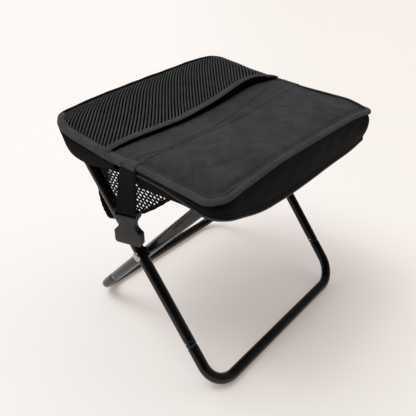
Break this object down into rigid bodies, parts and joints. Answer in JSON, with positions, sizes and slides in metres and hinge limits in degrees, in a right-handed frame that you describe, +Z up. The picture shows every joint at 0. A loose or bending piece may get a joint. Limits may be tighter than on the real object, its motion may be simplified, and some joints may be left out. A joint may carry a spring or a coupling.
{
  "type": "folding cooler stool",
  "caption": "Folding stool on crossed tube legs: fabric seat with a zipped padded lid over a slung compartment, mesh pocket, mesh storage bag below and side straps with buckle sockets.",
  "frame": {"origin": "middle of the outline on the floor", "axes": "+X to the right along the bars, -Y to the front (the lid's side), +Z up"},
  "size_m": [0.393, 0.3268, 0.3461],
  "materials": {
    "frame": "gloss black powder coat",
    "rivet": "bright zinc plate",
    "washer": "black nylon",
    "fabric": "black coated plain weave",
    "wall": "black coated plain weave",
    "binding": "black ribbed binding tape",
    "liner": "silver grey wipe-clean film",
    "foam": "white closed-cell foam",
    "mesh": "black open net",
    "zipper": "black coil on woven tape",
    "slider": "black enamel",
    "webbing": "black ribbed webbing",
    "buckle": "black moulded acetal, fine grain"
  },
  "bodies": {
    "root": {"outer_frame_upper": "frame", "outer_frame_foot": "frame", "pivot_rivet_left": "rivet", "pivot_rivet_right": "rivet", "pivot_washer_left": "washer", "pivot_washer_right": "washer", "storage_bag": "mesh", "bag_binding": "binding"},
    "inner_frame": {"inner_frame_upper": "frame", "inner_frame_foot": "frame"},
    "front_seat": {"front_bar_sleeve": "wall", "cooler_floor": "wall", "floor_liner": "liner", "seat_skirt": "wall", "zipper_chain": "zipper"},
    "lid": {"lid_cover": "fabric", "lid_foam": "foam", "lid_liner": "liner", "lid_binding": "binding", "lid_gusset": "wall"},
    "rear_seat": {"rear_bar_sleeve": "wall", "rear_floor": "wall", "rear_panel": "fabric", "mesh_pocket": "mesh", "pocket_binding": "binding", "rear_binding": "binding", "rear_gusset": "wall", "centre_band": "fabric", "floor_band": "wall"},
    "zip_slider": {"zipper_slider": "slider"},
    "zip_pull": {"zipper_pull": "slider"},
    "strap_l": {"strap_left": "webbing"},
    "strap_r": {"strap_right": "webbing"},
    "buckle_l": {"buckle_left": "buckle"},
    "buckle_r": {"buckle_right": "buckle"}
  },
  "joints": [
    {"name": "fold", "type": "hinge", "parent": "root", "child": "inner_frame", "pos_m": [0, -0.01459, 0.17058], "axis": [-1, 0, 0], "range_deg": [0, 65], "deforming": ["centre_band", "floor_band", "lid_gusset", "seat_skirt", "zipper_chain", "storage_bag", "bag_binding"]},
    {"name": "rear_seat_turn", "type": "hinge", "parent": "root", "child": "rear_seat", "pos_m": [0, 0.0992, 0.30195], "axis": [-1, 0, 0], "range_deg": [0, 123.5]},
    {"name": "front_seat_turn", "type": "hinge", "parent": "inner_frame", "child": "front_seat", "pos_m": [0, -0.12839, 0.30195], "axis": [1, 0, 0], "range_deg": [0, 123.5]},
    {"name": "lid_hinge", "type": "hinge", "parent": "front_seat", "child": "lid", "pos_m": [0, -0.02959, 0.316], "axis": [-1, 0, 0], "range_deg": [0, 95]},
    {"name": "zip_slide", "type": "slide", "parent": "front_seat", "child": "zip_slider", "axis": [0, -0.894, -0.448], "range_m": [0, 0.045]},
    {"name": "zip_pull_swing", "type": "hinge", "parent": "zip_slider", "child": "zip_pull", "pos_m": [0.1758, -0.06659, 0.30508], "axis": [0, -0.894, -0.448], "range_deg": [0, 100]},
    {"name": "strap_left_hang", "type": "hinge", "parent": "rear_seat", "child": "strap_l", "pos_m": [-0.1732, -0.01699, 0.30894], "axis": [1, 0, 0], "range_deg": [0, 123.5]},
    {"name": "strap_right_hang", "type": "hinge", "parent": "rear_seat", "child": "strap_r", "pos_m": [0.1732, -0.01699, 0.32877], "axis": [1, 0, 0], "range_deg": [0, 123.5]},
    {"name": "buckle_left_swing", "type": "hinge", "parent": "strap_l", "child": "buckle_l", "pos_m": [-0.1855, -0.02359, 0.25573], "axis": [-0.342, 0.9397, 0], "range_deg": [0, 70]},
    {"name": "buckle_right_swing", "type": "hinge", "parent": "strap_r", "child": "buckle_r", "pos_m": [0.1855, -0.02359, 0.27557], "axis": [-0.342, -0.9397, 0], "range_deg": [0, 70]}
  ],
  "couplings": [
    {"joint": "rear_seat_turn", "follows": "fold", "ratio": 1.9},
    {"joint": "front_seat_turn", "follows": "fold", "ratio": 1.9},
    {"joint": "strap_left_hang", "follows": "fold", "ratio": 1.9},
    {"joint": "strap_right_hang", "follows": "fold", "ratio": 1.9}
  ]
}
